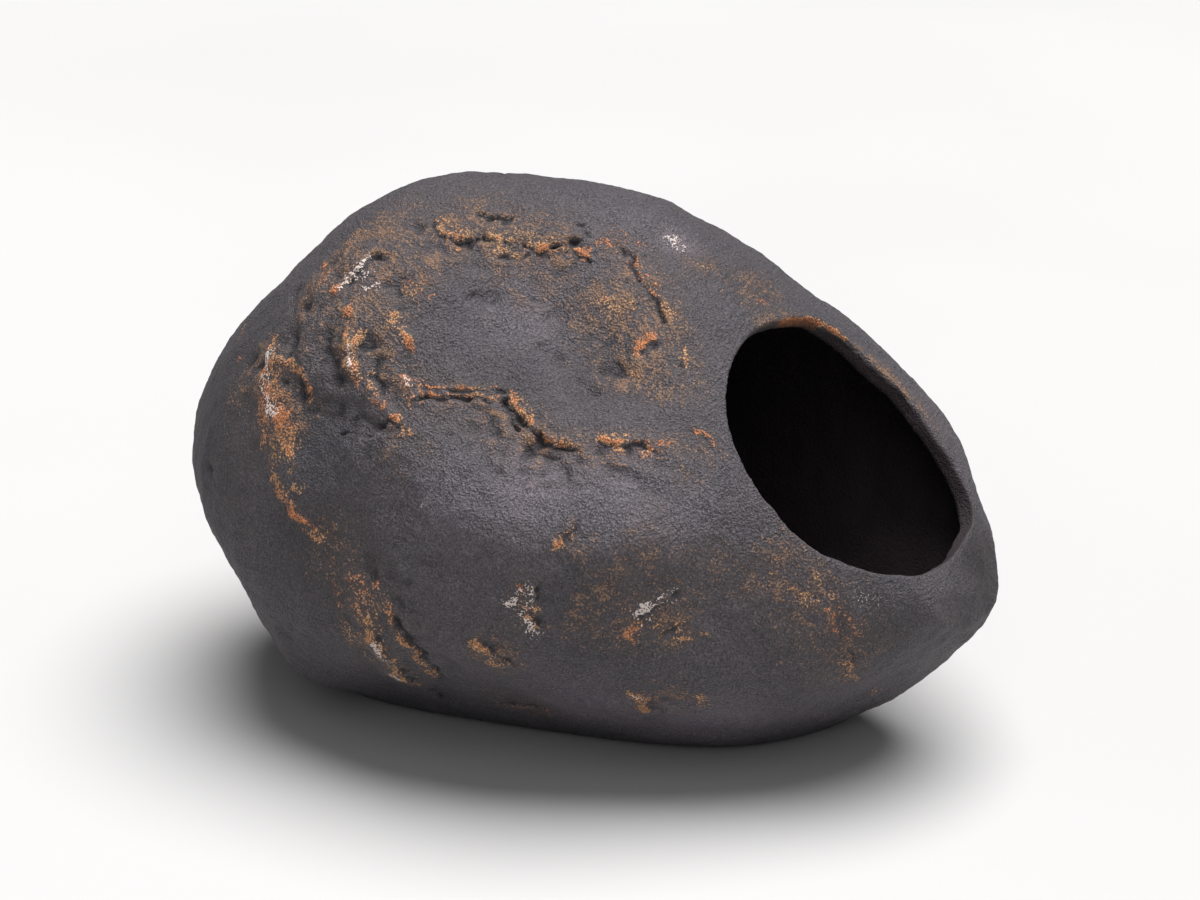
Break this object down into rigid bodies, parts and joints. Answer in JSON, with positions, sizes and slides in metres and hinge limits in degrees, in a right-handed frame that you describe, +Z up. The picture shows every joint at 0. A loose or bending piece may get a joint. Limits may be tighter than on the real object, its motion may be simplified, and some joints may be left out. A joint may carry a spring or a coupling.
{
  "type": "aquarium rock cave",
  "caption": "Hollow boulder with one round mouth on its sloping front, closed underneath by a bonded floor plate and standing on soft pads: a hiding place for fish.",
  "frame": {"origin": "on the ground, under the middle of the boulder's bounding box", "axes": "+X towards the mouth end, -Y the front, +Z up"},
  "size_m": [0.21, 0.146, 0.135],
  "materials": {
    "painted_resin": "matte",
    "bare_resin": "matte",
    "sealant": "satin",
    "pad_rubber": "matte"
  },
  "bodies": {
    "root": {"rock_shell": "painted_resin", "floor_plate": "bare_resin", "bond_bead": "sealant", "foot_front_left": "pad_rubber", "foot_front_right": "pad_rubber", "foot_rear_left": "pad_rubber", "foot_rear_right": "pad_rubber"}
  },
  "joints": []
}
